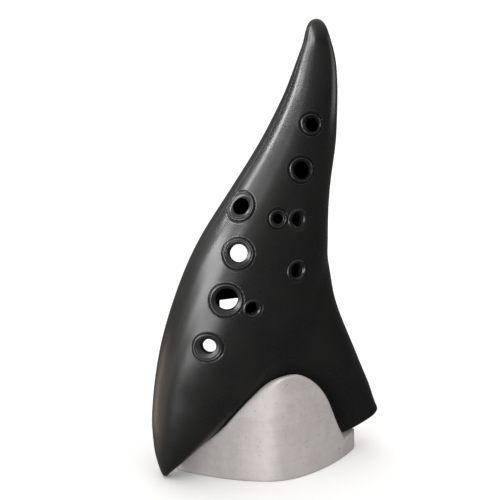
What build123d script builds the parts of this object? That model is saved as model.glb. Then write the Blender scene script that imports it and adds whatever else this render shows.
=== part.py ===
"""Twelve-hole alto C ocarina with its display stand.

The ocarina stands tail up in the stand.  Its seam plane is the plane y = 0,
the finger-hole face looks along -Y, and +Z is up.  The origin lies on the
ground plane, under the seam, at the middle of the stand.
All dimensions are millimetres.
"""
from build123d import *
import math
import os

os.makedirs("parts", exist_ok=True)

# ---------------------------------------------------------------- dimensions
WALL = 2.8                 # moulded wall of the chamber
BODY_POWER = 2.4           # roundness of the body's cross-sections
MOUTH_POWER = 2.8          # the mouthpiece is a little squarer
SECTION_POINTS = 24        # points round each cross-section

# body cross-sections: height, left edge, right edge, half thickness
BODY = [
    (0.4, -47.85, -46.15, 1.0),
    (1.6, -48.55, -45.75, 2.3),
    (4.0, -49.30, -43.65, 4.4),
    (9.0, -50.50, -37.95, 7.6),
    (16.0, -51.32, -29.30, 10.3),
    (24.0, -51.68, -18.50, 12.4),
    (31.0, -51.30, -6.90, 13.9),
    (38.0, -50.62, 6.60, 15.3),
    (46.0, -49.35, 13.60, 16.9),
    (55.0, -47.45, 17.90, 18.5),
    (67.0, -43.93, 21.00, 19.8),
    (79.0, -39.53, 22.70, 20.0),
    (91.0, -34.30, 23.85, 19.4),
    (103.0, -27.45, 24.50, 18.3),
    (115.0, -19.18, 24.95, 17.0),
    (127.0, -10.70, 26.10, 15.5),
    (139.0, -2.61, 27.40, 13.8),
    (150.0, 3.55, 28.30, 12.2),
    (160.0, 8.34, 28.60, 10.4),
    (168.0, 11.35, 28.42, 8.6),
    (174.5, 13.65, 27.65, 7.0),
    (179.5, 15.30, 26.34, 5.8),
    (183.5, 16.10, 25.15, 5.0),
    (186.6, 16.95, 24.15, 3.8),
    (188.3, 18.10, 22.80, 2.2),
    (189.0, 19.75, 21.15, 0.6),
]

# mouthpiece cross-sections, before its end is cut off
MOUTH = [
    (0.0, 34.5, 57.20, 5.8),
    (6.0, 31.5, 55.95, 6.3),
    (12.0, 27.8, 54.20, 7.0),
    (20.0, 21.0, 50.22, 8.4),
    (26.0, 12.5, 47.95, 9.6),
    (31.0, 3.5, 46.05, 10.7),
    (38.0, -5.5, 42.90, 12.1),
    (46.0, -9.0, 39.34, 13.4),
    (54.0, -10.0, 35.73, 14.3),
    (65.0, -10.0, 30.91, 14.8),
    (77.0, -9.0, 27.06, 14.2),
    (88.0, -7.0, 24.75, 12.0),
    (95.0, -4.0, 21.40, 9.0),
    (101.0, 0.0, 15.00, 5.0),
]
BEAK_END = (41.8, 12.3)    # x, z of the middle of the mouthpiece's end
BEAK_SLOPE = 24.5          # degrees the end face rises to the right

# chamber cross-sections, one wall thickness inside the body
CHAMBER = [
    (15.0, -43.76, -39.77, 2.15),
    (18.0, -45.37, -34.74, 5.02),
    (23.0, -47.44, -25.97, 8.24),
    (30.0, -48.50, -14.48, 10.89),
    (38.0, -47.55, 1.60, 12.5),
    (46.0, -46.20, 9.70, 14.1),
    (55.0, -44.37, 14.74, 15.7),
    (67.0, -40.86, 17.70, 17.0),
    (79.0, -36.55, 19.10, 17.2),
    (91.0, -31.36, 20.30, 16.6),
    (103.0, -24.23, 21.35, 15.5),
    (115.0, -15.76, 21.74, 14.2),
    (127.0, -7.38, 22.81, 12.7),
    (139.0, 0.61, 23.98, 11.0),
    (150.0, 6.70, 24.92, 9.4),
    (160.0, 11.40, 25.09, 7.6),
    (167.0, 14.46, 24.56, 5.55),
    (171.0, 17.31, 22.86, 3.05),
]

# finger holes: name, centre, direction the rim faces (degrees to the right of
# -Y, degrees up), rim radius, bore radius
RIM_HEIGHT = 0.55
FINGER_HOLES = [
    ("right_1", (13.0, -12.2, 148.7), (-6, 10), 4.4, 2.45),
    ("right_2", (7.7, -14.9, 131.0), (-3, 9), 5.1, 3.2),
    ("right_3", (5.6, -17.2, 111.2), (12, 5), 4.3, 3.0),
    ("right_3_small", (-3.3, -17.0, 112.2), (-8, 8), 4.0, 2.0),
    ("right_4", (4.8, -19.1, 90.2), (7, 5), 4.5, 3.1),
    ("left_1", (-15.9, -9.1, 117.0), (-44, 24), 6.0, 3.35),
    ("left_2", (-19.8, -15.5, 99.9), (-27, 16), 6.5, 3.75),
    ("left_3", (-24.9, -17.7, 80.8), (-20, 9), 6.9, 4.4),
    ("left_3_small", (-15.3, -19.5, 76.6), (-6, 3), 3.9, 2.4),
    ("left_4", (-33.9, -16.0, 61.9), (-28, 5), 6.0, 3.1),
]
# thumb holes on the other side: the direction is measured from +Y
THUMB_HOLES = [
    ("thumb_left", (-6.1, 19.5, 89.4), (0, 5), 7.4, 5.2),
    ("thumb_right", (-20.8, 17.6, 48.5), (-4, -9), 6.8, 4.6),
]

# voicing: windway, window and edge
WINDOW_X = (-16.2, -5.7)
WINDOW_Z = (61.5, 69.7)
WINDWAY_WIDTH = 9.5
WINDWAY_HEIGHT = 1.3
WINDWAY_FLOOR = 1.2        # y of the windway floor at the mouthpiece's end
WINDWAY_RISE = 0.197       # rise of the floor per millimetre of length
BLOCK_WIDTH = 12.0
EDGE_DEPTH = 15.6          # y of the sounding edge
RAMP_END = 81.0            # height where the ramp meets the outer surface

# stand
STAND_TURN = -5.0          # degrees, the base is turned a little on the seam
STAND_CENTRE = (0.5, 2.6)
BASE_X = [0, 10, 20, 30, 36.5, 39.6]
BASE_FRONT = [25.5, 23.5, 18.9, 12.2, 6.6, 3.0]
BASE_HALF = 40.9
REAR_RATIO = 0.82          # the rear of the base is shallower
STAND_TOP = 50.0
STAND_DRAFT = 1.7          # inward lean of the walls over the full height
RIM_WALL = 8.2             # height of the low wall round the base
SEAT_GAP = 0.3             # clearance between the ocarina and its seat
BELL = [
    (-41.5, 0.5), (-38.4, 4.0), (-34.3, 10.7), (-31.0, 15.1), (-28.4, 18.4),
    (-25.7, 21.5), (-21.8, 27.0), (-17.1, 33.1), (-12.3, 38.4), (-7.7, 42.3),
    (-3.6, 44.3), (0.0, 45.1), (3.6, 45.2), (7.5, 44.1), (11.7, 41.3),
    (16.0, 36.9), (20.1, 30.9), (23.3, 24.3), (26.6, 17.7), (30.6, 10.7),
    (33.4, 5.4), (36.0, 0.5),
]


# ------------------------------------------------------------------- helpers
def ring(left, right, half, power):
    """Points round one closed cross-section, in its own plane."""
    cx, a = (left + right) / 2, (right - left) / 2
    points = []
    for i in range(SECTION_POINTS):
        t = 2 * math.pi * (i + 0.5) / SECTION_POINTS
        c, s = math.cos(t), math.sin(t)
        points.append((cx + a * math.copysign(abs(c) ** (2 / power), c),
                       half * math.copysign(abs(s) ** (2 / power), s)))
    return points


def grown(stations, side, depth):
    """The same cross-sections, made larger all round."""
    return [(z, l - side, r + side, h + depth) for z, l, r, h in stations]


def facing(centre, direction, back=False):
    """Plane on a hole's rim, with its normal out of the wall."""
    turn, lift = math.radians(direction[0]), math.radians(direction[1])
    sign = 1 if back else -1
    normal = (math.sin(turn) * math.cos(lift),
              sign * math.cos(turn) * math.cos(lift), math.sin(lift))
    return Plane(origin=centre, z_dir=normal)


def body_solid(stations, power):
    with BuildPart() as form:
        for z, left, right, half in stations:
            with BuildSketch(Plane.XY.offset(z)):
                with BuildLine():
                    Spline(*ring(left, right, half, power), periodic=True)
                make_face()
        loft()
    return form.part


def end_cutter(gap):
    """Everything beyond the slanted end of the mouthpiece."""
    slope = math.radians(BEAK_SLOPE)
    x, z = BEAK_END
    down = (math.sin(slope), 0, -math.cos(slope))
    plane = Plane(origin=(x + gap * down[0], 0, z + gap * down[2]),
                  x_dir=(math.cos(slope), 0, math.sin(slope)), z_dir=down)
    with BuildPart() as cutter:
        with BuildSketch(plane):
            Rectangle(80, 60)
        extrude(amount=40)
    return cutter.part


def ocarina_solid(gap=0.0):
    """Outer form of the whole ocarina, grown by a clearance if asked."""
    mouth = body_solid(grown(MOUTH, gap * 1.1, gap), MOUTH_POWER)
    beyond = end_cutter(gap)
    body = body_solid(grown(BODY, gap * 1.3, gap), BODY_POWER)
    with BuildPart() as form:
        add(mouth)
        add(beyond, mode=Mode.SUBTRACT)
        add(body)
    return form.part


# -------------------------------------------------- windway, block and window
# plan of the windway: from the end of the mouthpiece to the window
window_mid = (WINDOW_X[0] + WINDOW_X[1]) / 2
run = (window_mid - BEAK_END[0], WINDOW_Z[0] - BEAK_END[1])
length = math.hypot(*run)
along = (run[0] / length, 0, run[1] / length)
across = (along[2], 0, -along[0])
rise = math.atan(WINDWAY_RISE)


def windway_bar(width, low, high, start):
    """A bar along the windway, up to the level of the window.

    It lies between two heights over the windway's floor line; with no lower
    height it starts at the seam plane.
    """
    stop = length + 8.0
    # side profile in the plane (along, y)
    side = Plane(origin=(BEAK_END[0], 0, BEAK_END[1]), x_dir=along,
                 z_dir=(-across[0], 0, -across[2]))
    sign = 1 if side.y_dir.Y > 0 else -1

    def y_at(s, offset):
        return sign * (WINDWAY_FLOOR + WINDWAY_RISE * s + offset)

    lo = (lambda s: 0.0) if low is None else (lambda s: y_at(s, low))
    with BuildPart() as bar:
        with BuildSketch(side):
            with BuildLine():
                Polyline((start, lo(start)), (stop, lo(stop)),
                         (stop, y_at(stop, high)), (start, y_at(start, high)),
                         close=True)
            make_face()
        extrude(amount=width / 2, both=True)
        # nothing higher than the window's bottom edge
        with BuildSketch(Plane.XY.offset(WINDOW_Z[0])):
            Rectangle(240, 160)
        extrude(amount=60, mode=Mode.SUBTRACT)
    return bar.part

# ------------------------------------------------------------ complete forms
outer = ocarina_solid()
chamber = body_solid(CHAMBER, BODY_POWER)
block_bar = windway_bar(BLOCK_WIDTH, None, 0.0, -5.5)
air_bar = windway_bar(WINDWAY_WIDTH, 0.0, WINDWAY_HEIGHT, -14.0)
beyond_end = end_cutter(0.0)

# ---------------------------------------------------------------- front shell
with BuildPart() as front_shell:
    add(outer)
    split(bisect_by=Plane.XZ, keep=Keep.TOP)
    # raised rims round the finger holes
    for name, centre, direction, rim, bore in FINGER_HOLES:
        plane = facing(centre, direction)
        with BuildSketch(plane.offset(-2.3)):
            Circle(rim)
        extrude(amount=2.3 + RIM_HEIGHT)
    add(chamber, mode=Mode.SUBTRACT)
    for name, centre, direction, rim, bore in FINGER_HOLES:
        plane = facing(centre, direction)
        # dished seat for the fingertip, then the bore
        with BuildSketch(plane.offset(RIM_HEIGHT)):
            Circle(rim - 0.9)
        extrude(amount=-0.7, taper=40, mode=Mode.SUBTRACT)
        with BuildSketch(plane.offset(3)):
            Circle(bore)
        extrude(amount=-11, mode=Mode.SUBTRACT)
front_shell.part.label = "front_shell"

# ----------------------------------------------------------------- back shell
with BuildPart() as back_shell:
    add(outer)
    split(bisect_by=Plane.XZ, keep=Keep.BOTTOM)
    # bed of the windway block, then the windway over it
    add(block_bar, mode=Mode.SUBTRACT)
    add(air_bar, mode=Mode.SUBTRACT)
    for name, centre, direction, rim, bore in THUMB_HOLES:
        plane = facing(centre, direction, back=True)
        with BuildSketch(plane.offset(-2.3)):
            Circle(rim)
        extrude(amount=2.3 + RIM_HEIGHT)
    add(chamber, mode=Mode.SUBTRACT)
    # thicker wall that carries the sounding edge
    with BuildSketch(Plane.XY.offset(WINDOW_Z[0])):
        with Locations((window_mid, EDGE_DEPTH + 1.2)):
            Rectangle(WINDOW_X[1] - WINDOW_X[0] + 4, 3.4)
    extrude(amount=RAMP_END - WINDOW_Z[0])
    for name, centre, direction, rim, bore in THUMB_HOLES:
        plane = facing(centre, direction, back=True)
        with BuildSketch(plane.offset(RIM_HEIGHT)):
            Circle(rim - 0.9)
        extrude(amount=-0.7, taper=40, mode=Mode.SUBTRACT)
        with BuildSketch(plane.offset(3)):
            Circle(bore)
        extrude(amount=-11, mode=Mode.SUBTRACT)
    # window through the wall
    with BuildSketch(Plane.XY.offset(WINDOW_Z[0])):
        with Locations((window_mid, 22)):
            Rectangle(WINDOW_X[1] - WINDOW_X[0], 24)
    extrude(amount=WINDOW_Z[1] - WINDOW_Z[0], mode=Mode.SUBTRACT)
    # ramp down to the sounding edge
    with BuildSketch(Plane.YZ.offset(WINDOW_X[0])):
        with BuildLine():
            Polyline((EDGE_DEPTH, WINDOW_Z[1]), (20.6, RAMP_END),
                     (26.0, RAMP_END), (26.0, WINDOW_Z[1]), close=True)
        make_face()
    extrude(amount=WINDOW_X[1] - WINDOW_X[0], mode=Mode.SUBTRACT)
back_shell.part.label = "back_shell"

# -------------------------------------------------------------- windway block
with BuildPart() as windway_block:
    add(block_bar)
    add(beyond_end, mode=Mode.SUBTRACT)
windway_block.part.label = "windway_block"

# ---------------------------------------------------------------------- stand
seat = ocarina_solid(SEAT_GAP)
base_frame = Plane(origin=(STAND_CENTRE[0], STAND_CENTRE[1], 0),
                   x_dir=(math.cos(math.radians(STAND_TURN)),
                          math.sin(math.radians(STAND_TURN)), 0),
                   z_dir=(0, 0, 1))


def base_outline(inset):
    """Closed outline of the stand, pulled in by its draft."""
    front = [(x, -(d - inset)) for x, d in zip(BASE_X, BASE_FRONT)]
    rear = [(x, REAR_RATIO * d - inset) for x, d in zip(BASE_X, BASE_FRONT)]
    half = BASE_HALF - inset
    k = half / BASE_HALF
    pts = [(x * k, y) for x, y in front] + [(half, 0)]
    pts += [(x * k, y) for x, y in reversed(rear)]
    pts += [(-x * k, y) for x, y in rear[1:]] + [(-half, 0)]
    pts += [(-x * k, y) for x, y in reversed(front[1:])]
    return pts


with BuildPart() as bell_form:
    # bell-shaped side profile over a low wall, drawn across the seam plane
    with BuildSketch(Plane.XZ.offset(-50)):
        with BuildLine():
            Spline(*BELL)
            Polyline(BELL[-1], (BELL[-1][0], -5), (BELL[0][0], -5), BELL[0])
        make_face()
        with Locations((0, (RIM_WALL - 5) / 2)):
            Rectangle(100, RIM_WALL + 5)
    extrude(amount=100)

with BuildPart() as stand:
    with BuildSketch(base_frame):
        with BuildLine():
            Spline(*base_outline(0.0), periodic=True)
        make_face()
    with BuildSketch(base_frame.offset(STAND_TOP)):
        with BuildLine():
            Spline(*base_outline(STAND_DRAFT), periodic=True)
        make_face()
    loft(ruled=True)
    add(bell_form.part, mode=Mode.INTERSECT)
    add(seat, mode=Mode.SUBTRACT)
stand.part.label = "stand"

# --------------------------------------------------------------------- output
for piece in (front_shell, back_shell, windway_block, stand):
    print(piece.part.label, len(piece.part.solids()), "solid(s)",
          round(piece.part.volume), "mm3")

export_step(front_shell.part, "parts/front_shell.step")
export_step(back_shell.part, "parts/back_shell.step")
export_step(windway_block.part, "parts/windway_block.step")
export_step(stand.part, "parts/stand.step")
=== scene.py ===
"""Looks of the twelve-hole ocarina and its display stand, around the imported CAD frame.

Lengths in the shape code are millimetres; meshes are written in metres.
"""
import math

import bmesh
import bpy
import numpy as np
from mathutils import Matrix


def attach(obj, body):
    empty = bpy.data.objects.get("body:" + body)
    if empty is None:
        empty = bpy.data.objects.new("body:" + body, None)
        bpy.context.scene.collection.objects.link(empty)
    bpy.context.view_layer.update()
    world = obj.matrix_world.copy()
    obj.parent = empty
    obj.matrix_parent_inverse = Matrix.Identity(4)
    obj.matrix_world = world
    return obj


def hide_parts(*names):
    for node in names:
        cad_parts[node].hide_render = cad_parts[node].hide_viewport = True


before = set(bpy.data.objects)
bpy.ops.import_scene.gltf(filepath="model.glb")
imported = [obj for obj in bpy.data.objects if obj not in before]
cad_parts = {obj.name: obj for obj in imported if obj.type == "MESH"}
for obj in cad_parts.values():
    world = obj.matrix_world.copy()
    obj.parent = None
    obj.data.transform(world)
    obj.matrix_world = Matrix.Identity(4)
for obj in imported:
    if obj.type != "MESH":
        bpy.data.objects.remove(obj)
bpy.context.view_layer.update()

import openvdb
from mathutils import Matrix

MM = 0.001

# ------------------------------------------------------------------ camera
AZ, EL, DIST = math.radians(-22), math.radians(16), 0.560
TARGET = (-0.0073045, 0.003, 0.0944218)
back = (math.sin(AZ) * math.cos(EL), -math.cos(AZ) * math.cos(EL), math.sin(EL))
right = (math.cos(AZ), math.sin(AZ), 0.0)
up = (back[1] * right[2] - back[2] * right[1],
      back[2] * right[0] - back[0] * right[2],
      back[0] * right[1] - back[1] * right[0])
cam = bpy.data.objects.new("camera", bpy.data.cameras.new("camera"))
cam.data.lens, cam.data.sensor_width = 97.0, 36.0
cam.data.clip_start, cam.data.clip_end = 0.01, 200.0
place = Matrix((right, up, back)).transposed().to_4x4()
place.translation = [t + DIST * b for t, b in zip(TARGET, back)]
cam.matrix_world = place
bpy.context.scene.collection.objects.link(cam)
bpy.context.scene.camera = cam

# ------------------------------------------------------------ dimensions (mm)
BODY = [
    (0.4, -47.85, -46.15, 1.0), (1.6, -48.55, -45.75, 2.3), (4.0, -49.30, -43.65, 4.4),
    (9.0, -50.50, -37.95, 7.6), (16.0, -51.32, -29.30, 10.3), (24.0, -51.68, -18.50, 12.4),
    (31.0, -51.30, -6.90, 13.9), (38.0, -50.62, 6.60, 15.3), (46.0, -49.35, 13.60, 16.9),
    (55.0, -47.45, 17.90, 18.5), (67.0, -43.93, 21.00, 19.8), (79.0, -39.53, 22.70, 20.0),
    (91.0, -34.35, 24.45, 19.4), (103.0, -27.60, 24.70, 18.3), (115.0, -19.18, 24.95, 17.0),
    (127.0, -10.70, 26.10, 15.5), (139.0, -2.75, 27.80, 13.8), (150.0, 3.50, 28.35, 12.2),
    (160.0, 8.34, 28.60, 10.4), (168.0, 11.35, 28.42, 8.6), (174.5, 13.65, 27.65, 7.0),
    (179.5, 15.30, 26.30, 5.80), (183.5, 15.98, 25.15, 5.19), (186.6, 15.80, 24.95, 5.00),
    (189.0, 15.20, 25.25, 4.90),
]
TAIL_CAP = (181.5, 188.94)
MOUTH = [
    (0.0, 34.5, 57.20, 5.8), (6.0, 31.5, 55.95, 6.3), (12.0, 27.8, 54.20, 7.0),
    (20.0, 21.0, 50.22, 8.4), (26.0, 12.5, 47.95, 9.6), (31.0, 3.5, 46.05, 10.7),
    (38.0, -5.5, 42.90, 12.1), (46.0, -9.0, 39.34, 13.4), (54.0, -10.0, 35.73, 14.3),
    (65.0, -10.0, 30.91, 14.8), (77.0, -9.0, 27.20, 14.2), (88.0, -7.0, 25.10, 12.0),
    (95.0, -4.0, 21.40, 9.0), (101.0, 0.0, 15.00, 5.0),
]
CHAMBER = [
    (15.0, -43.76, -39.77, 2.15), (18.0, -45.37, -34.74, 5.02), (23.0, -47.44, -25.97, 8.24),
    (30.0, -48.50, -14.48, 10.89), (38.0, -47.55, 1.60, 12.5), (46.0, -46.20, 9.70, 14.1),
    (55.0, -44.37, 14.74, 15.7), (67.0, -40.86, 17.70, 17.0), (79.0, -36.55, 19.10, 17.2),
    (91.0, -31.36, 20.30, 16.6), (103.0, -24.23, 21.35, 15.5), (115.0, -15.76, 21.74, 14.2),
    (127.0, -7.38, 22.81, 12.7), (139.0, 0.61, 23.98, 11.0), (150.0, 6.70, 24.92, 9.4),
    (160.0, 11.40, 25.09, 7.6), (167.0, 14.46, 24.56, 5.55), (171.0, 17.31, 22.86, 3.05),
]
BODY_POWER, MOUTH_POWER = 2.4, 2.8
BEAK_END, BEAK_SLOPE = (41.72, 12.45), math.radians(24.5)

# centre, direction the rim faces (degrees right of -Y or +Y, degrees up), radius of the
# groove round the rim, bore radius, how far the bore lies off the rim's centre (right, up),
# and how bold the rim stands out
FINGER_HOLES = [
    ((13.0, -12.2, 148.6), (-6, 10), 4.65, 2.75, (0.75, -0.1), 1.3),
    ((7.7, -14.9, 130.9), (-3, 9), 5.4, 3.45, (0.6, -0.1), 1.3),
    ((5.5, -17.2, 111.2), (20, 5), 4.5, 2.75, (0.3, 0.0), 0.5),
    ((-3.3, -17.0, 112.2), (-8, 8), 4.15, 2.0, (0.3, 0.0), 1.25),
    ((4.7, -19.1, 90.2), (17, 5), 4.8, 2.8, (0.2, 0.1), 0.5),
    ((-16.6, -8.9, 117.0), (-38, 22), 6.5, 3.4, (0.1, 0.1)),
    ((-19.8, -15.5, 99.2), (-27, 16), 6.6, 3.55, (0.0, 0.2)),
    ((-25.8, -17.4, 80.8), (-22, 9), 7.05, 4.4, (0.25, 0.4)),
    ((-15.3, -19.5, 76.6), (-6, 3), 4.2, 2.4, (0.0, 0.2), 0.55),
    ((-33.5, -16.2, 61.4), (-38, 5), 6.2, 2.9, (0.2, 0.5)),
]
THUMB_HOLES = [
    ((-6.1, 19.5, 89.4), (0, 5), 7.7, 5.2, (0.0, 0.0)),
    ((-20.8, 17.6, 48.5), (-4, -9), 7.1, 4.6, (0.0, 0.0)),
]
WINDOW_X, WINDOW_Z = (-16.2, -5.7), (61.5, 69.7)
WINDWAY_WIDTH, WINDWAY_HEIGHT, WINDWAY_FLOOR, WINDWAY_RISE = 9.5, 1.3, 1.2, 0.197
BLOCK_WIDTH, EDGE_DEPTH, RAMP_END = 12.0, 15.6, 81.0

STAND_TURN, STAND_CENTRE = math.radians(-5), (0.5, 2.6)
BASE_X = [0, 10, 20, 30, 36.5, 39.6]
BASE_FRONT = [25.5, 23.5, 18.9, 12.2, 6.6, 3.0]
BASE_HALF, REAR_RATIO = 40.9, 0.82
STAND_TOP, STAND_DRAFT, RIM_WALL, SEAT_GAP = 50.0, 1.7, 8.2, 0.3
BELL = [
    (-41.8, 0.9), (-38.6, 4.8), (-34.5, 11.2), (-31.0, 15.3), (-28.4, 18.5), (-25.7, 21.5),
    (-21.8, 27.1), (-17.1, 33.5), (-12.3, 39.1), (-7.7, 43.3), (-3.6, 45.4), (0.0, 46.2),
    (3.6, 46.3), (7.6, 44.8), (12.0, 41.75), (16.5, 37.2), (20.6, 31.1), (23.75, 24.5),
    (26.8, 17.8), (30.6, 10.7), (33.4, 5.4), (36.0, 0.5),
]


# ------------------------------------------------------------- shape functions
def spline(knots, values):
    """Natural cubic curve through the knots, straight beyond them: value and slope."""
    knots, values = np.asarray(knots, float), np.asarray(values, float)
    n, h = len(knots), np.diff(knots)
    a, rhs = np.eye(n), np.zeros(n)
    for i in range(1, n - 1):
        a[i, i - 1:i + 2] = h[i - 1], 2 * (h[i - 1] + h[i]), h[i]
        rhs[i] = 6 * ((values[i + 1] - values[i]) / h[i] - (values[i] - values[i - 1]) / h[i - 1])
    m = np.linalg.solve(a, rhs)

    def inside(z):
        z = np.clip(z, knots[0], knots[-1])
        i = np.clip(np.searchsorted(knots, z, side="right") - 1, 0, n - 2)
        p = (knots[i + 1] - z) / h[i]
        q = 1 - p
        value = (p * values[i] + q * values[i + 1]
                 + ((p ** 3 - p) * m[i] + (q ** 3 - q) * m[i + 1]) * h[i] ** 2 / 6)
        slope = ((values[i + 1] - values[i]) / h[i]
                 + ((3 * q ** 2 - 1) * m[i + 1] - (3 * p ** 2 - 1) * m[i]) * h[i] / 6)
        return value, slope

    def curve(z):
        value, slope = inside(z)
        return value + (z - np.clip(z, knots[0], knots[-1])) * slope, slope
    return curve


def smooth_min(a, b, k):
    h = np.maximum(k - np.abs(a - b), 0.0) / k
    return np.minimum(a, b) - h * h * h * (k / 6)


def smooth_max(a, b, k):
    return -smooth_min(-a, -b, k)


class Form:
    """A solid with superelliptic cross-sections that change smoothly with height."""

    def __init__(self, stations, power, cap=None):
        z, left, right_edge, half = zip(*stations)
        self.left, self.right, self.half = spline(z, left), spline(z, right_edge), spline(z, half)
        self.power, self.cap = power, cap

    def __call__(self, x, y, z):
        left, d_left = self.left(z)
        right_edge, d_right = self.right(z)
        b, db = self.half(z)
        c, a = (left + right_edge) / 2, np.maximum((right_edge - left) / 2, 0.3)
        b = np.maximum(b, 0.3)
        dc, da = (d_left + d_right) / 2, (d_right - d_left) / 2
        kind = np.float32 if x.dtype == np.float32 else float
        c, a, b, dc, da, db = (np.asarray(v, kind) for v in (c, a, b, dc, da, db))
        n = self.power
        u, v = (x - c) / a, y / b
        au, av = np.maximum(np.abs(u), 1e-5), np.maximum(np.abs(v), 1e-5)
        g = np.maximum((au ** n + av ** n) ** (1 / n), 1e-3)
        k = g ** (1 - n)
        gu, gv = np.sign(u) * au ** (n - 1) * k, np.sign(v) * av ** (n - 1) * k
        q, dq = 1.0, 0.0
        if self.cap:
            low, high = self.cap
            t = np.clip((z - low) / (high - low), 0, 1.6)
            w = 1 - t * t
            safe = np.maximum(w, 0.02)
            q = np.asarray(np.where(w > 0.02, np.sqrt(safe), 0.1414 + (w - 0.02) * 3.5), kind)
            dq = np.asarray(np.where(w > 0.02, -t / np.sqrt(safe), -7 * t) / (high - low), kind)
        gz = -gu * (dc + u * da) / a - gv * v * db / b - dq
        return (g - q) / np.maximum(np.sqrt((gu / a) ** 2 + (gv / b) ** 2 + gz ** 2), 1e-3)


body_form = Form(BODY, BODY_POWER, TAIL_CAP)
mouth_form = Form(MOUTH, MOUTH_POWER)
chamber_form = Form(CHAMBER, BODY_POWER)


def beyond_end(x, z):
    return ((x - BEAK_END[0]) * math.sin(BEAK_SLOPE) - (z - BEAK_END[1]) * math.cos(BEAK_SLOPE))


def outer(x, y, z):
    """Outer surface of the ocarina, without rims."""
    mouth = smooth_max(mouth_form(x, y, z), beyond_end(x, z), 2.4)
    mouth = np.maximum(mouth, z - 100.0)
    return smooth_max(smooth_min(body_form(x, y, z), mouth, 4.0), 0.4 - z, 0.8)


def chamber(x, y, z):
    return np.maximum(np.maximum(chamber_form(x, y, z), 15.0 - z), z - 171.0)


def hole_axes(hole, sign):
    centre, (turn, lift) = hole[:2]
    turn, lift = math.radians(turn), math.radians(lift)
    normal = np.array((math.sin(turn) * math.cos(lift), sign * math.cos(turn) * math.cos(lift),
                       math.sin(lift)))
    side = np.cross((0.0, 0.0, 1.0), normal)
    side /= np.linalg.norm(side)
    return np.array(centre), normal, side, np.cross(normal, side)


def hole_coordinates(hole, sign, x, y, z, shift=(0.0, 0.0)):
    """Distance from a hole's axis, and height over its rim plane."""
    centre, normal, side, top = hole_axes(hole, sign)
    centre = centre + side * shift[0] + top * shift[1]
    dx, dy, dz = x - centre[0], y - centre[1], z - centre[2]
    height = dx * normal[0] + dy * normal[1] + dz * normal[2]
    s = dx * side[0] + dy * side[1] + dz * side[2]
    t = dx * top[0] + dy * top[1] + dz * top[2]
    return np.sqrt(s * s + t * t), height


window_mid = sum(WINDOW_X) / 2
run = (window_mid - BEAK_END[0], WINDOW_Z[0] - BEAK_END[1])
run_length = math.hypot(*run)
along = (run[0] / run_length, run[1] / run_length)


def windway_coordinates(x, z):
    s = (x - BEAK_END[0]) * along[0] + (z - BEAK_END[1]) * along[1]
    t = (x - BEAK_END[0]) * along[1] - (z - BEAK_END[1]) * along[0]
    return s, np.abs(t)


def shell(sign):
    """Signed distance of one half of the ocarina, open at the seam."""
    holes = FINGER_HOLES if sign < 0 else THUMB_HOLES

    def near(hole, x, y, z, reach=4.0):
        """The part of a grid, or the points, that a hole can change."""
        radius = hole[2] + reach
        if x.ndim == 1:
            c = hole[0]
            return (np.nonzero((x - c[0]) ** 2 + (y - c[1]) ** 2 + (z - c[2]) ** 2 < (radius + 6) ** 2)[0],)
        spans = []
        for values, c in zip((x.ravel(), y.ravel(), z.ravel()), hole[0]):
            i = np.nonzero(np.abs(values - c) < radius + 3)[0]
            spans.append(slice(i[0], i[-1] + 1) if len(i) else slice(0, 0))
        return tuple(spans)

    def pick(where, x, y, z):
        if x.ndim == 1:
            return x[where[0]], y[where[0]], z[where[0]]
        return x[where[0]], y[:, where[1]], z[:, :, where[2]]

    def distance(x, y, z):
        f = outer(x, y, z)
        if f.shape != np.broadcast(x, y, z).shape:
            f = np.broadcast_to(f, np.broadcast(x, y, z).shape).copy()
        skin = f
        if sign < 0 or len(holes):
            f = f.copy()
        hollow = chamber(x, y, z)
        if sign > 0:
            # thick wall that carries the sounding edge
            pad = np.maximum(np.abs(x - window_mid) - (WINDOW_X[1] - WINDOW_X[0] + 4) / 2,
                             np.maximum(np.abs(z - (WINDOW_Z[0] + RAMP_END) / 2)
                                        - (RAMP_END - WINDOW_Z[0]) / 2, 15.1 - y))
            hollow = np.maximum(hollow, -pad)
        f = np.maximum(f, -hollow)
        for hole in holes:
            where = near(hole, x, y, z)
            rho, h = hole_coordinates(hole, sign, *pick(where, x, y, z))
            # the rims are turned pieces of mesh: leave them a seat, and their bores
            well = np.maximum(rho - (hole[2] + 0.1), np.maximum(-1.5 - skin[where], -4.5 - h))
            rho = hole_coordinates(hole, sign, *pick(where, x, y, z), hole[4])[0]
            bore = np.maximum(rho - (hole[3] + 0.25), -12.0 - h)
            f[where] = np.maximum(f[where], -np.minimum(well, bore))
        if sign > 0:
            s, t = windway_coordinates(x, z)
            low = WINDWAY_FLOOR + WINDWAY_RISE * s
            below = z - WINDOW_Z[0]
            bed = np.maximum(np.maximum(t - BLOCK_WIDTH / 2, y - low), np.maximum(-2.0 - y, -5.5 - s))
            air = np.maximum(np.maximum(t - WINDWAY_WIDTH / 2, y - low - WINDWAY_HEIGHT),
                             np.maximum(low - 0.4 - y, -14.0 - s))
            f = np.maximum(f, -np.maximum(np.minimum(bed, air), below))
            wide = np.maximum(WINDOW_X[0] - x, x - WINDOW_X[1])
            window = np.maximum(wide, np.maximum(np.maximum(WINDOW_Z[0] - z, z - WINDOW_Z[1]), 10.0 - y))
            rise = (20.6 - EDGE_DEPTH) / (RAMP_END - WINDOW_Z[1])
            ramp = (EDGE_DEPTH + (z - WINDOW_Z[1]) * rise - y) / math.sqrt(1 + rise * rise)
            ramp = np.maximum(wide, np.maximum(ramp, np.maximum(WINDOW_Z[1] - 0.5 - z, z - RAMP_END - 6)))
            f = np.maximum(f, -np.minimum(window, ramp))
        return f
    return distance


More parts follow.
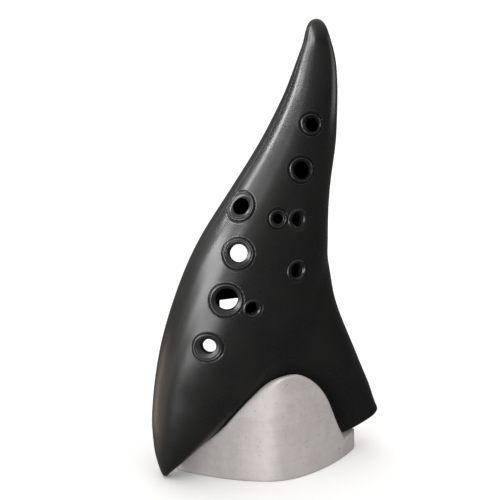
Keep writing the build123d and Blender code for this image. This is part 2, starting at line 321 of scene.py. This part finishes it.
def stand_outline():
    """Closed outline of the stand's base, in its own turned axes."""
    def half(ratio):
        # mirrored knots keep the outline smooth through the middle
        xs = [-BASE_HALF] + [-v for v in BASE_X[:0:-1]] + BASE_X + [BASE_HALF]
        ds = [0.0] + BASE_FRONT[:0:-1] + BASE_FRONT + [0.0]
        t = np.concatenate([[0], np.cumsum(np.hypot(np.diff(xs), np.diff(np.array(ds) * ratio)))])
        fx, fd = spline(t, xs), spline(t, np.array(ds) * ratio)
        u = np.linspace(0, t[-1], 161)
        return np.stack([fx(u)[0], fd(u)[0]], 1)
    front, rear = half(1.0), half(REAR_RATIO)
    front[:, 1] *= -1
    return np.vstack([front[:-1], rear[::-1][:-1]])


def polygon_distance(points, x, y):
    """Signed distance in the plane, negative inside."""
    best, inside = np.full(x.shape, 1e9), np.zeros(x.shape, bool)
    for (x0, y0), (x1, y1) in zip(points, np.roll(points, -1, 0)):
        ex, ey = x1 - x0, y1 - y0
        t = np.clip(((x - x0) * ex + (y - y0) * ey) / max(ex * ex + ey * ey, 1e-12), 0, 1)
        best = np.minimum(best, (x - x0 - t * ex) ** 2 + (y - y0 - t * ey) ** 2)
        if y0 != y1:
            inside ^= ((y0 > y) != (y1 > y)) & (x < (x1 - x0) * (y - y0) / (y1 - y0) + x0)
    return np.where(inside, -1, 1) * np.sqrt(best)


def table(points, low, high, step=0.25):
    """The polygon's distance on a plane grid, read back by interpolation."""
    nu, nv = (int(round((high[i] - low[i]) / step)) + 1 for i in (0, 1))
    u, v = np.meshgrid(low[0] + step * np.arange(nu), low[1] + step * np.arange(nv), indexing="ij")
    grid = polygon_distance(points, u, v)

    def read(x, y):
        p = np.clip((x - low[0]) / step, 0, nu - 1.001)
        q = np.clip((y - low[1]) / step, 0, nv - 1.001)
        i, j = p.astype(int), q.astype(int)
        p, q = p - i, q - j
        return ((grid[i, j] * (1 - p) + grid[i + 1, j] * p) * (1 - q)
                + (grid[i, j + 1] * (1 - p) + grid[i + 1, j + 1] * p) * q)
    return read


def bell_outline():
    xs, zs = zip(*BELL)
    t = np.concatenate([[0], np.cumsum(np.hypot(np.diff(xs), np.diff(zs)))])
    fx, fz = spline(t, xs), spline(t, zs)
    u = np.linspace(0, t[-1], 200)
    curve = np.stack([fx(u)[0], fz(u)[0]], 1)
    return np.vstack([curve, [(BELL[-1][0], -12), (BELL[0][0], -12)]])


plan_distance = table(stand_outline(), (-44, -30), (44, 26))
bell_distance = table(bell_outline(), (-50, -4), (50, 54))


def stand_form(x, y, z):
    c, s = math.cos(STAND_TURN), math.sin(STAND_TURN)
    dx, dy = x - STAND_CENTRE[0], y - STAND_CENTRE[1]
    plan = plan_distance(dx * c + dy * s, -dx * s + dy * c) + 0.06 + STAND_DRAFT * z / STAND_TOP
    lip = 1.3 + 1.3 * np.clip((z - 22) / 22, 0, 1) ** 1.5        # the edge softens towards the crown
    fall = 0.38 * np.clip((z - 26) / 10, 0, 1)                   # the crown's top falls in towards the body
    bell = bell_distance(x + 0 * z, z + fall * np.clip(-plan, 0, 7))
    height = smooth_min(bell, z - RIM_WALL, 1.5)
    f = smooth_max(smooth_max(plan, height, lip), -z, 0.7)
    seat = outer(x, y, z) - SEAT_GAP
    return smooth_max(f, -seat, 1.1)


# ------------------------------------------------------------------- meshing
def gradient(function, p, e=0.04):
    g = np.empty_like(p)
    for k in range(3):
        step = np.zeros(3)
        step[k] = e
        a, b = p + step, p - step
        g[:, k] = (function(*a.T.copy()) - function(*b.T.copy())) / (2 * e)
    return g


def quads(function, low, high, pitch):
    """Closed quad mesh of a signed distance, its vertices moved onto the surface."""
    n = [int(math.ceil((b - a) / pitch)) + 1 for a, b in zip(low, high)]
    axes = [(a + pitch * np.arange(k)).astype(np.float32) for a, k in zip(low, n)]
    field = function(axes[0][:, None, None], axes[1][None, :, None], axes[2][None, None, :])
    field = np.clip(np.ascontiguousarray(np.broadcast_to(field, n), np.float32), -3, 3)
    grid = openvdb.FloatGrid(3.0)
    grid.copyFromArray(field)
    points, faces = grid.convertToQuads(isovalue=0.0)
    p = points.astype(float) * pitch + np.array(low)
    for _ in range(3):
        value, g = function(*p.T.copy()), gradient(function, p)
        move = -(value / np.maximum((g ** 2).sum(1), 0.3))[:, None] * g
        size = np.linalg.norm(move, axis=1)
        p += move * np.minimum(1, 0.3 * pitch / np.maximum(size, 1e-9))[:, None]
    faces = faces.astype(int)
    a, b, c = (p[faces[:, i]] for i in (0, 1, 2))
    if np.einsum("ij,ij->", np.cross(b - a, c - a), a - p.mean(0)) < 0:
        faces = faces[:, ::-1]
    return p, faces


def to_mesh(name, points, faces, sharp=50):
    mesh = bpy.data.meshes.new(name)
    mesh.from_pydata((np.asarray(points) * MM).tolist(), [], [list(f) for f in faces])
    mesh.validate()
    for polygon in mesh.polygons:
        polygon.use_smooth = True
    piece = bpy.data.objects.new(name, mesh)
    bpy.context.scene.collection.objects.link(piece)
    if sharp:
        mesh.set_sharp_from_angle(angle=math.radians(sharp))
    return piece


def rim_profile(rim, bore):
    """Across one rim, from outside inwards: radius, height over the skin, share of the
    skin's curve it follows, share of the bore's offset."""
    rows = [(rim + 1.25, -0.06, 1, 0), (rim + 1.0, 0.012, 1, 0), (rim + 0.7, 0.014, 1, 0),
            (rim + 0.45, 0.005, 1, 0), (rim + 0.28, -0.05, 1, 0), (rim + 0.14, -0.17, 1, 0),
            (rim + 0.02, -0.30, 1, 0), (rim - 0.10, -0.34, 1, 0), (rim - 0.20, -0.26, 1, 0),
            (rim - 0.29, -0.06, 1, 0), (rim - 0.38, 0.16, 1, 0), (rim - 0.50, 0.33, 1, 0),
            (rim - 0.66, 0.43, 1, 0), (rim - 0.84, 0.46, 1, 0), (rim - 1.02, 0.41, 1, 0.05),
            (rim - 1.16, 0.29, 1, 0.1)]
    inner = rim - 1.16
    if rim - bore > 2.75:
        rows += [(rim - 1.25, 0.14, 0.98, 0.1), (rim - 1.33, 0.04, 0.96, 0.12), (rim - 1.41, 0.03, 0.95, 0.14),
                 (rim - 1.49, 0.12, 0.94, 0.17), (rim - 1.58, 0.17, 0.93, 0.2), (rim - 1.70, 0.12, 0.91, 0.25)]
        inner = rim - 1.70
    start, first, low = rows[-1][1], rows[-1][3], -0.42
    follow = rows[-1][2]
    end = bore + 0.34
    count = 5
    for k in range(1, count + 1):
        t = k / count
        rows.append((inner + (end - inner) * t, start + (low - start) * t ** 1.1,
                     follow + (0.75 - follow) * t, first + (1 - first) * t))
    for r, h in ((0.20, -0.14), (0.09, -0.32), (0.02, -0.55), (0.0, -0.85)):
        rows.append((bore + r, low + h, 0.72, 1))
    rows += [(bore, low - 1.5, 0.7, 1), (bore, -3.1, 0.7, 1), (bore + 0.06, -3.3, 0.7, 1),
             (bore + 0.2, -3.4, 0.7, 1), (bore + 0.42, -3.3, 0.7, 1), (bore + 0.45, -2.2, 0.9, 1),
             (rim - 0.25, -1.9, 1, 0), (rim + 0.9, -0.7, 1, 0)]
    return rows


def rim_mesh(hole, holes, sign, steps=112):
    """Groove, raised ring, dish and bore of one hole, laid on the curved skin."""
    centre, normal, side, top = hole_axes(hole, sign)
    rows = rim_profile(hole[2], hole[3])
    angle = 2 * math.pi * np.arange(steps) / steps
    radial = np.cos(angle)[:, None] * side + np.sin(angle)[:, None] * top
    shift = side * hole[4][0] + top * hole[4][1]
    points = []
    for radius, height, follow, offset in rows:
        flat = centre + radial * radius + shift * offset
        skin = np.zeros(steps)
        for _ in range(8):
            p = flat + normal * skin[:, None]
            value = outer(*p.T.copy())
            ahead = outer(*(p + 0.05 * normal).T.copy())
            behind = outer(*(p - 0.05 * normal).T.copy())
            slope = np.maximum((ahead - behind) / 0.1, 0.25)
            skin -= np.clip(value / slope, -1.5, 1.5)
        bold = hole[5] if len(hole) > 5 else 1.0
        rise = follow * skin + height * (bold if height > -0.5 else 1.0)
        p = flat + normal * skin[:, None]
        for other in holes:
            if other is hole:
                continue
            away = hole_coordinates(other, sign, p[:, 0], p[:, 1], p[:, 2])[0]
            t = np.clip((other[2] + 0.12 - away) / 0.4, 0, 1)
            if other[2] > hole[2] or radius > hole[2] + 0.2:
                rise -= 1.25 * t * t * (3 - 2 * t)
        points.append(flat + normal * rise[:, None])
    m = len(rows)
    points = np.array(points).transpose(1, 0, 2).reshape(-1, 3)
    i, k = np.meshgrid(np.arange(steps), np.arange(m), indexing="ij")
    j, n = (i + 1) % steps, (k + 1) % m
    faces = np.stack([i * m + k, j * m + k, j * m + n, i * m + n], -1).reshape(-1, 4)
    a, b, c = (points[faces[:, q]] for q in (0, 1, 2))
    if np.einsum("ij,ij->", np.cross(b - a, c - a), a - points.mean(0)) < 0:
        faces = faces[:, ::-1]
    return points, faces.tolist()


def shell_piece(name, sign, pitch):
    function = shell(sign)
    low = [-53.0, -22.5, -1.0] if sign < 0 else [-53.0, -3 * pitch, -1.0]
    high = [54.5, 3 * pitch, 190.4] if sign < 0 else [54.5, 22.8, 190.4]
    if sign < 0:
        low[1] = -pitch * math.ceil(22.5 / pitch)      # the seam plane is a grid plane
    p, faces = quads(function, low, high, pitch)
    bm = bmesh.new()
    mesh = bpy.data.meshes.new("cut")
    mesh.from_pydata(p.tolist(), [], faces.tolist())
    bm.from_mesh(mesh)
    bpy.data.meshes.remove(mesh)
    # cut at the seam plane, exactly
    bmesh.ops.bisect_plane(bm, geom=bm.verts[:] + bm.edges[:] + bm.faces[:], dist=1e-5,
                           plane_co=(0, 0, 0), plane_no=(0, 1, 0),
                           clear_outer=sign < 0, clear_inner=sign > 0)
    rim_edges = [e for e in bm.edges if e.is_boundary]
    rim_verts = list({v for e in rim_edges for v in e.verts})
    q = np.array([v.co[:] for v in rim_verts])
    on_skin = np.abs(outer(q[:, 0], q[:, 1], q[:, 2])) < 0.25
    for _ in range(3):        # a fine groove along the outside of the seam
        value, g = outer(*q.T.copy()), gradient(outer, q)
        g[:, 1] = 0
        move = -((value + 0.05) / np.maximum((g ** 2).sum(1), 0.3))[:, None] * g
        size = np.linalg.norm(move, axis=1)
        move *= np.minimum(1, 0.3 / np.maximum(size, 1e-9))[:, None]
        q[on_skin] += move[on_skin]
    for v, co in zip(rim_verts, q):
        v.co = (co[0], 0.0, co[2])
    bmesh.ops.triangle_fill(bm, edges=rim_edges, use_beauty=False, use_dissolve=False,
                            normal=(0, -sign, 0))
    bm.normal_update()
    bm.verts.index_update()
    points = np.array([v.co[:] for v in bm.verts])
    faces = [[v.index for v in f.verts] for f in bm.faces]
    open_edges = sum(1 for e in bm.edges if not e.is_manifold)
    bm.free()
    holes = FINGER_HOLES if sign < 0 else THUMB_HOLES
    for hole in holes:
        more, more_faces = rim_mesh(hole, holes, sign)
        faces += [[i + len(points) for i in f] for f in more_faces]
        points = np.vstack([points, more])
    print("mesh", name, len(points), len(faces), "open edges", open_edges)
    return to_mesh(name, points, faces)


# ------------------------------------------------------------------ materials
class Nodes:
    def __init__(self, name):
        self.material = bpy.data.materials.new(name)
        self.material.use_nodes = True
        self.tree = self.material.node_tree
        self.tree.nodes.clear()
        self.out = self.tree.nodes.new("ShaderNodeOutputMaterial")
        self.at = self.tree.nodes.new("ShaderNodeTexCoord").outputs["Object"]

    def link(self, a, b):
        self.tree.links.new(a, b)

    def value(self, socket, v):
        if hasattr(v, "is_output"):
            self.link(v, socket)
        elif v is not None:
            socket.default_value = v

    def math(self, kind, a, b=None, c=None, clamp=False):
        node = self.tree.nodes.new("ShaderNodeMath")
        node.operation, node.use_clamp = kind, clamp
        for socket, v in zip(node.inputs, (a, b, c)):
            self.value(socket, v)
        return node.outputs[0]

    def scaled(self, factors, at=None):
        node = self.tree.nodes.new("ShaderNodeVectorMath")
        node.operation = "MULTIPLY"
        self.value(node.inputs[0], at or self.at)
        node.inputs[1].default_value = factors
        return node.outputs[0]

    def noise(self, scale, detail=2.0, rough=0.5, at=None, distortion=0.0):
        node = self.tree.nodes.new("ShaderNodeTexNoise")
        node.inputs["Scale"].default_value = scale
        node.inputs["Detail"].default_value = detail
        node.inputs["Roughness"].default_value = rough
        node.inputs["Distortion"].default_value = distortion
        self.link(at or self.at, node.inputs["Vector"])
        return node.outputs["Fac"]

    def cells(self, scale, at=None, randomness=1.0):
        node = self.tree.nodes.new("ShaderNodeTexVoronoi")
        node.inputs["Scale"].default_value = scale
        node.inputs["Randomness"].default_value = randomness
        self.link(at or self.at, node.inputs["Vector"])
        return node.outputs["Distance"], node.outputs["Color"]

    def ramp(self, v, low, high, out_low=0.0, out_high=1.0, smooth=True):
        node = self.tree.nodes.new("ShaderNodeMapRange")
        node.interpolation_type = "SMOOTHSTEP" if smooth else "LINEAR"
        self.value(node.inputs["Value"], v)
        for key, x in (("From Min", low), ("From Max", high), ("To Min", out_low), ("To Max", out_high)):
            self.value(node.inputs[key], x)
        return node.outputs["Result"]

    def mix(self, factor, a, b):
        node = self.tree.nodes.new("ShaderNodeMix")
        node.data_type = "RGBA"
        self.value(node.inputs[0], factor)
        self.value(node.inputs[6], a if hasattr(a, "is_output") else (*a, 1.0))
        self.value(node.inputs[7], b if hasattr(b, "is_output") else (*b, 1.0))
        return node.outputs[2]

    def along_y(self, vector):
        node = self.tree.nodes.new("ShaderNodeSeparateXYZ")
        self.link(vector, node.inputs[0])
        return node.outputs[1]

    def red(self, colour):
        node = self.tree.nodes.new("ShaderNodeSeparateColor")
        self.link(colour, node.inputs[0])
        return node.outputs[0], node.outputs[1]

    def bump(self, height, distance, strength=1.0, normal=None):
        node = self.tree.nodes.new("ShaderNodeBump")
        node.inputs["Strength"].default_value = strength
        node.inputs["Distance"].default_value = distance
        self.value(node.inputs["Height"], height)
        if normal:
            self.link(normal, node.inputs["Normal"])
        return node.outputs["Normal"]

    def principled(self, **inputs):
        node = self.tree.nodes.new("ShaderNodeBsdfPrincipled")
        for key, v in inputs.items():
            self.value(node.inputs[key.replace("_", " ")], v)
        self.link(node.outputs[0], self.out.inputs["Surface"])
        return node


def dust(n, scale, size, keep):
    """Sparse specks: a small disc in a few of the cells."""
    distance, colour = n.cells(scale)
    red, green = n.red(colour)
    radius = n.ramp(green, 0, 1, 0.35 * size, size, smooth=False)
    spot = n.math("LESS_THAN", distance, radius)
    return n.math("MULTIPLY", spot, n.math("GREATER_THAN", red, 1 - keep))


def black_plastic(name, base=0.0040, rough=0.29, specks=True):
    n = Nodes(name)
    broad = n.noise(45, 3.0, 0.55)
    fine = n.noise(1500, 3.0, 0.6)
    grain = n.noise(4200, 2.0, 0.5)
    # faint rubbed marks, longer than wide
    marks = n.noise(1.0, 4.0, 0.65, at=n.scaled((260, 260, 34)), distortion=0.6)
    marks = n.ramp(marks, 0.56, 0.74)
    shade = n.ramp(broad, 0.3, 0.7, 0.85, 1.18)
    shade = n.math("MULTIPLY", shade, n.ramp(fine, 0.25, 0.75, 0.90, 1.10))
    colour = n.mix(n.ramp(shade, 0.8, 1.25, smooth=False), (base * 0.86,) * 3, (base * 1.22, base * 1.18, base * 1.14))
    if specks:
        small = dust(n, 155, 0.020, 0.22)
        colour = n.mix(n.math("MULTIPLY", small, 0.5), colour, (0.20, 0.19, 0.18))
    r = n.math("ADD", n.ramp(broad, 0.3, 0.7, rough - 0.035, rough + 0.045),
               n.ramp(fine, 0.3, 0.7, -0.03, 0.03))
    r = n.math("ADD", r, n.math("MULTIPLY", marks, 0.05))
    height = n.math("ADD", n.math("MULTIPLY", fine, 0.6), n.math("MULTIPLY", grain, 0.4))
    normal = n.bump(height, 0.000006, 0.9)
    normal = n.bump(n.noise(70, 2.0, 0.5), 0.00008, 0.6, normal)
    # painted shade: the chamber's own walls, which face the seam, are painted near black and lose almost all their
    # specular, standing in for the darkness inside the closed chamber
    facing = n.tree.nodes.new("ShaderNodeTexCoord").outputs["Normal"]
    chamber = n.ramp(n.math("MULTIPLY", n.along_y(n.at), n.along_y(facing)), -0.0016, -0.0005, 1.0, 0.0)
    colour = n.mix(chamber, colour, (0.0012, 0.0012, 0.0012))
    n.principled(Base_Color=colour, Roughness=r, Normal=normal, IOR=1.32,
                 Specular_IOR_Level=n.ramp(chamber, 0, 1, 0.5, 0.03))
    return n.material


def printed_plastic(name):
    n = Nodes(name)
    broad = n.noise(28, 3.0, 0.55)
    mottled = n.noise(260, 4.0, 0.65)
    layers = n.noise(1.0, 2.0, 0.6, at=n.scaled((22, 22, 1250)))
    bands = n.noise(1.0, 1.0, 0.5, at=n.scaled((9, 9, 330)))
    tone = n.math("ADD", n.math("MULTIPLY", n.ramp(broad, 0.3, 0.7, -0.5, 0.5), 0.40),
                  n.math("ADD", n.math("MULTIPLY", n.ramp(layers, 0.25, 0.75, -0.5, 0.5), 0.20),
                         n.math("ADD", n.math("MULTIPLY", n.ramp(bands, 0.3, 0.7, -0.5, 0.5), 0.10),
                                n.math("MULTIPLY", n.ramp(mottled, 0.3, 0.7, -0.5, 0.5), 0.50))))
    colour = n.mix(n.math("ADD", tone, 0.5, clamp=True), (0.318, 0.295, 0.288), (0.404, 0.376, 0.370))
    rosy = n.noise(120, 3.0, 0.6)
    colour = n.mix(n.ramp(rosy, 0.50, 0.72, 0.0, 0.5), colour, (0.405, 0.358, 0.350))
    dark = dust(n, 430, 0.21, 0.50)
    darker = dust(n, 240, 0.12, 0.42)
    colour = n.mix(n.math("MULTIPLY", dark, 0.34), colour, (0.17, 0.155, 0.15))
    colour = n.mix(n.math("MULTIPLY", darker, 0.50), colour, (0.13, 0.12, 0.118))
    r = n.math("ADD", n.ramp(mottled, 0.3, 0.7, 0.50, 0.57), n.ramp(layers, 0.25, 0.75, -0.03, 0.03))
    normal = n.bump(layers, 0.00003, 0.7)
    normal = n.bump(mottled, 0.00005, 0.5, normal)
    tangent = n.tree.nodes.new("ShaderNodeTangent")
    tangent.direction_type, tangent.axis = "RADIAL", "Z"
    n.principled(Base_Color=colour, Roughness=r, Normal=normal, Specular_IOR_Level=0.5, Metallic=0.35,
                 Anisotropic=0.8, Anisotropic_Rotation=0.25, Tangent=tangent.outputs[0])
    return n.material


black = black_plastic("satin_black_abs")
black_inner = black_plastic("block_black_abs", base=0.0055, rough=0.38, specks=False)
grey = printed_plastic("printed_grey_plastic")

# --------------------------------------------------------------------- pieces
PITCH = 0.45
front = shell_piece("front_shell_skin", -1, PITCH)
front.data.materials.append(black)
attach(front, "ocarina")
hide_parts("front_shell")

rear = shell_piece("back_shell_skin", 1, PITCH)
rear.data.materials.append(black)
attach(rear, "ocarina")
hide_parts("back_shell")

points, faces = quads(stand_form, (-43, -28, -1.2), (44, 28, 51), PITCH)
base = to_mesh("stand_skin", points, faces, sharp=0)
print("mesh stand", len(points), len(faces))
base.data.materials.append(grey)
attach(base, "stand")
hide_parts("stand")

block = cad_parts["windway_block"]
for material_slot in block.material_slots:
    material_slot.material = black_inner

# ---------------------------------------------------------------- floor, light
floor_mesh = bpy.data.meshes.new("floor")
bm = bmesh.new()
bmesh.ops.create_grid(bm, x_segments=8, y_segments=8, size=14.0)
bm.to_mesh(floor_mesh)
bm.free()
floor = bpy.data.objects.new("floor", floor_mesh)
bpy.context.scene.collection.objects.link(floor)
n = Nodes("pale_floor")
n.principled(Base_Color=(0.93, 0.93, 0.93, 1.0), Roughness=0.9, Specular_IOR_Level=0.1)
floor_mesh.materials.append(n.material)
floor.visible_glossy = False


def area_light(name, location, aim, width, height, radiance, colour=(1, 1, 1)):
    light = bpy.data.lights.new(name, "AREA")
    light.shape, light.size, light.size_y = "RECTANGLE", width, height
    light.energy = radiance * math.pi * width * height
    light.color = colour
    lamp = bpy.data.objects.new(name, light)
    direction = np.array(location) - np.array(aim)
    direction = direction / np.linalg.norm(direction)
    side = np.cross((0, 0, 1.0), direction)
    side /= np.linalg.norm(side)
    high = np.cross(direction, side)
    m = Matrix((side, high, direction)).transposed().to_4x4()
    m.translation = location
    lamp.matrix_world = m
    bpy.context.scene.collection.objects.link(lamp)
    return lamp


def polar(azimuth, elevation, distance, centre=(0, 0, 0.09)):
    a, e = math.radians(azimuth), math.radians(elevation)
    return (centre[0] + math.sin(a) * math.cos(e) * distance,
            centre[1] - math.cos(a) * math.cos(e) * distance, centre[2] + math.sin(e) * distance)


def panel(name, azimuth, elevation, distance, wide, high, radiance, receivers, colour=(1, 1, 1),
          centre=(0, 0, 0.09)):
    """Soft panel seen from the centre under the given angles (degrees)."""
    lamp = area_light(name, polar(azimuth, elevation, distance, centre), centre,
                      2 * distance * math.tan(math.radians(wide / 2)),
                      2 * distance * math.tan(math.radians(high / 2)), radiance, colour)
    lamp.visible_camera = False
    lamp.light_linking.receiver_collection = receivers
    return lamp


lit_shell = bpy.data.collections.new("lit_shell")
lit_stand = bpy.data.collections.new("lit_stand")
for group in (lit_shell, lit_stand):
    bpy.context.scene.collection.children.link(group)
for piece in (front, rear, block):
    lit_shell.objects.link(piece)
lit_stand.objects.link(base)

# a long window on the left, sinking towards the front
low_left = (-0.025, 0, 0.083)
panel("window_tail", -127, 23, 0.217, 11, 15, 31, lit_shell, centre=(0.010, 0, 0.150))
panel("window_left", -98, 29, 0.35, 30, 18, 25, lit_shell, centre=low_left)
panel("window_front", -64, 18, 0.35, 36, 26, 24, lit_shell, centre=low_left)
near = (-0.025, -0.015, 0.047)
panel("window_low", -41, 3, 0.15, 40, 30, 14, lit_shell, centre=near)
table_card = panel("table_left", -118, -21, 0.26, 70, 28, 1.7, lit_shell, (1.0, 0.80, 0.63),
                   (-0.04, 0, 0.06))
table_card.light_linking.blocker_collection = lit_shell
panel("edge_right", 82, 2, 0.15, 30, 26, 2.6, lit_shell, centre=(0.02, -0.005, 0.163))
area_light("fill_left", polar(-60, 40, 1.3), (0, 0, 0.05), 0.6, 0.6, 0.8)
panel("front_strip", -20, 22, 1.3, 17, 26, 18.0, lit_stand, centre=(0, 0, 0.03))
panel("stand_left", -95, 12, 0.9, 30, 24, 1.1, lit_stand, (1.0, 0.93, 0.86), (0, 0, 0.03))
panel("stand_tip", -100, 8, 0.04, 40, 30, 5.0, lit_stand, (1.0, 0.97, 0.94), (-0.037, -0.002, 0.006))

world = bpy.data.worlds.new("studio")
bpy.context.scene.world = world
world.use_nodes = True
tree = world.node_tree
tree.nodes.clear()
out = tree.nodes.new("ShaderNodeOutputWorld")
shine = tree.nodes.new("ShaderNodeBackground")
coordinate = tree.nodes.new("ShaderNodeTexCoord")
split = tree.nodes.new("ShaderNodeSeparateXYZ")
band = tree.nodes.new("ShaderNodeMapRange")
band.interpolation_type = "SMOOTHSTEP"
for key, v in (("From Min", 0.05), ("From Max", 0.85), ("To Min", 0.16), ("To Max", 1.6)):
    band.inputs[key].default_value = v
tree.links.new(coordinate.outputs["Generated"], split.inputs[0])
tree.links.new(split.outputs["Z"], band.inputs["Value"])
tree.links.new(band.outputs["Result"], shine.inputs["Strength"])
shine.inputs["Color"].default_value = (1.0, 0.99, 0.975, 1.0)
tree.links.new(shine.outputs[0], out.inputs[0])

bpy.context.scene.view_settings.view_transform = "Standard"

bpy.context.view_layer.update()
